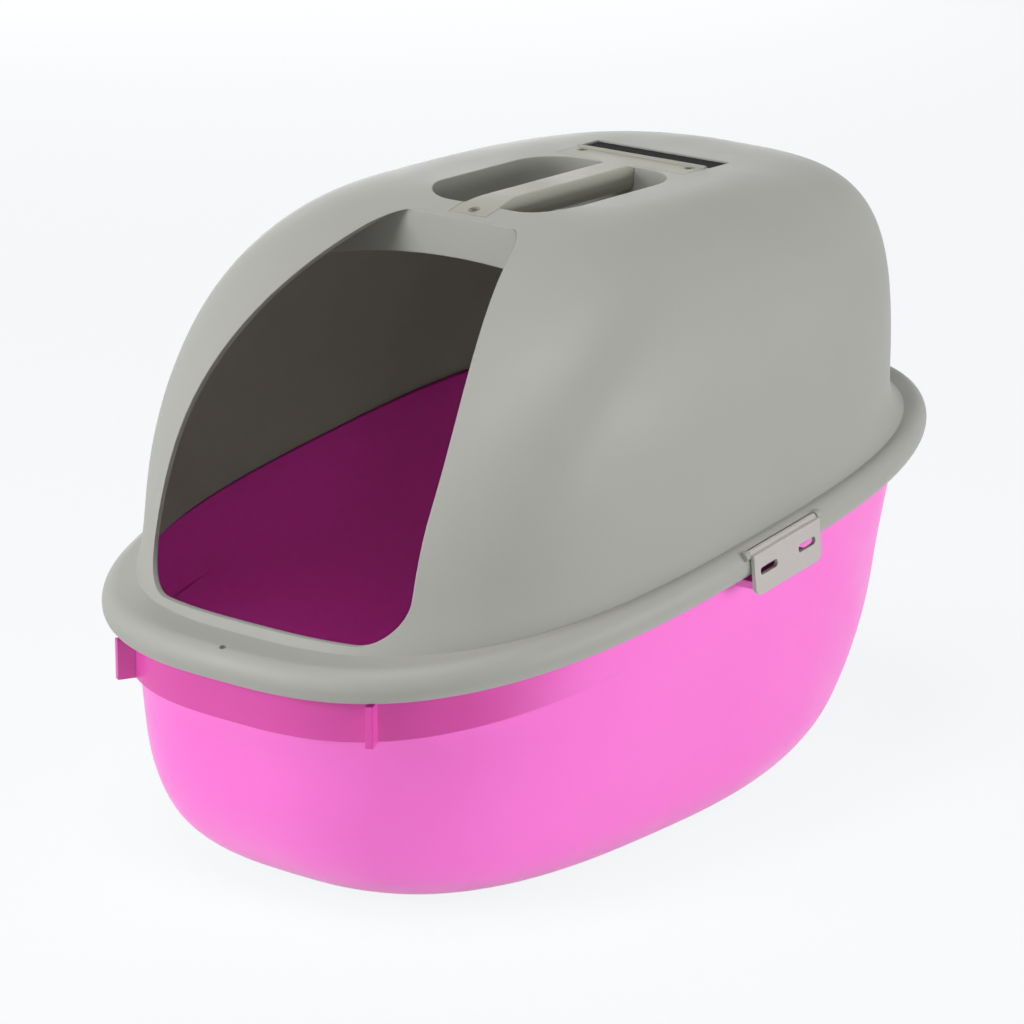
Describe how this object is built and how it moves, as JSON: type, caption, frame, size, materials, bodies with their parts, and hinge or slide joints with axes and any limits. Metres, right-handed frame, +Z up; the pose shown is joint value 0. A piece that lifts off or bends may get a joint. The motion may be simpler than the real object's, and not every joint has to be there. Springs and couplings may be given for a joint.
{
  "type": "litter box",
  "caption": "Hooded cat litter box: deep pan with a sloping rim, lift-off domed hood with an open arched entrance, carrying handle, side clips and a carbon filter pocket.",
  "frame": {"origin": "on the floor, under the middle of the box", "axes": "+Z up, -Y towards the entrance, X across the box"},
  "size_m": [0.3772, 0.5654, 0.3874],
  "materials": {
    "pan_plastic": "semi-gloss moulded",
    "hood_plastic": "satin moulded",
    "handle_plastic": "satin moulded",
    "peg_plastic": "satin moulded",
    "filter_felt": "carbon felt",
    "clip_plastic": "satin moulded"
  },
  "bodies": {
    "pan": {"litter_pan": "pan_plastic"},
    "hood": {"hood": "hood_plastic", "carry_handle": "handle_plastic", "handle_pegs": "peg_plastic", "filter_holder": "hood_plastic"},
    "clip_right": {"clip_right": "clip_plastic"},
    "clip_left": {"clip_left": "clip_plastic"},
    "filter": {"carbon_filter": "filter_felt"}
  },
  "joints": [
    {"name": "hood_lift", "type": "slide", "parent": "pan", "child": "hood", "axis": [0, 0, 1], "range_m": [0, 0.25]},
    {"name": "clip_right_swing", "type": "hinge", "parent": "hood", "child": "clip_right", "pos_m": [0.18396, 0.01532, 0.19831], "axis": [0, -0.9913, -0.1318], "range_deg": [0, 105]},
    {"name": "clip_left_swing", "type": "hinge", "parent": "hood", "child": "clip_left", "pos_m": [-0.18396, 0.01532, 0.19831], "axis": [0, 0.9913, 0.1318], "range_deg": [0, 105]},
    {"name": "filter_pull", "type": "slide", "parent": "hood", "child": "filter", "axis": [0, 0, 1], "range_m": [0, 0.075]}
  ]
}
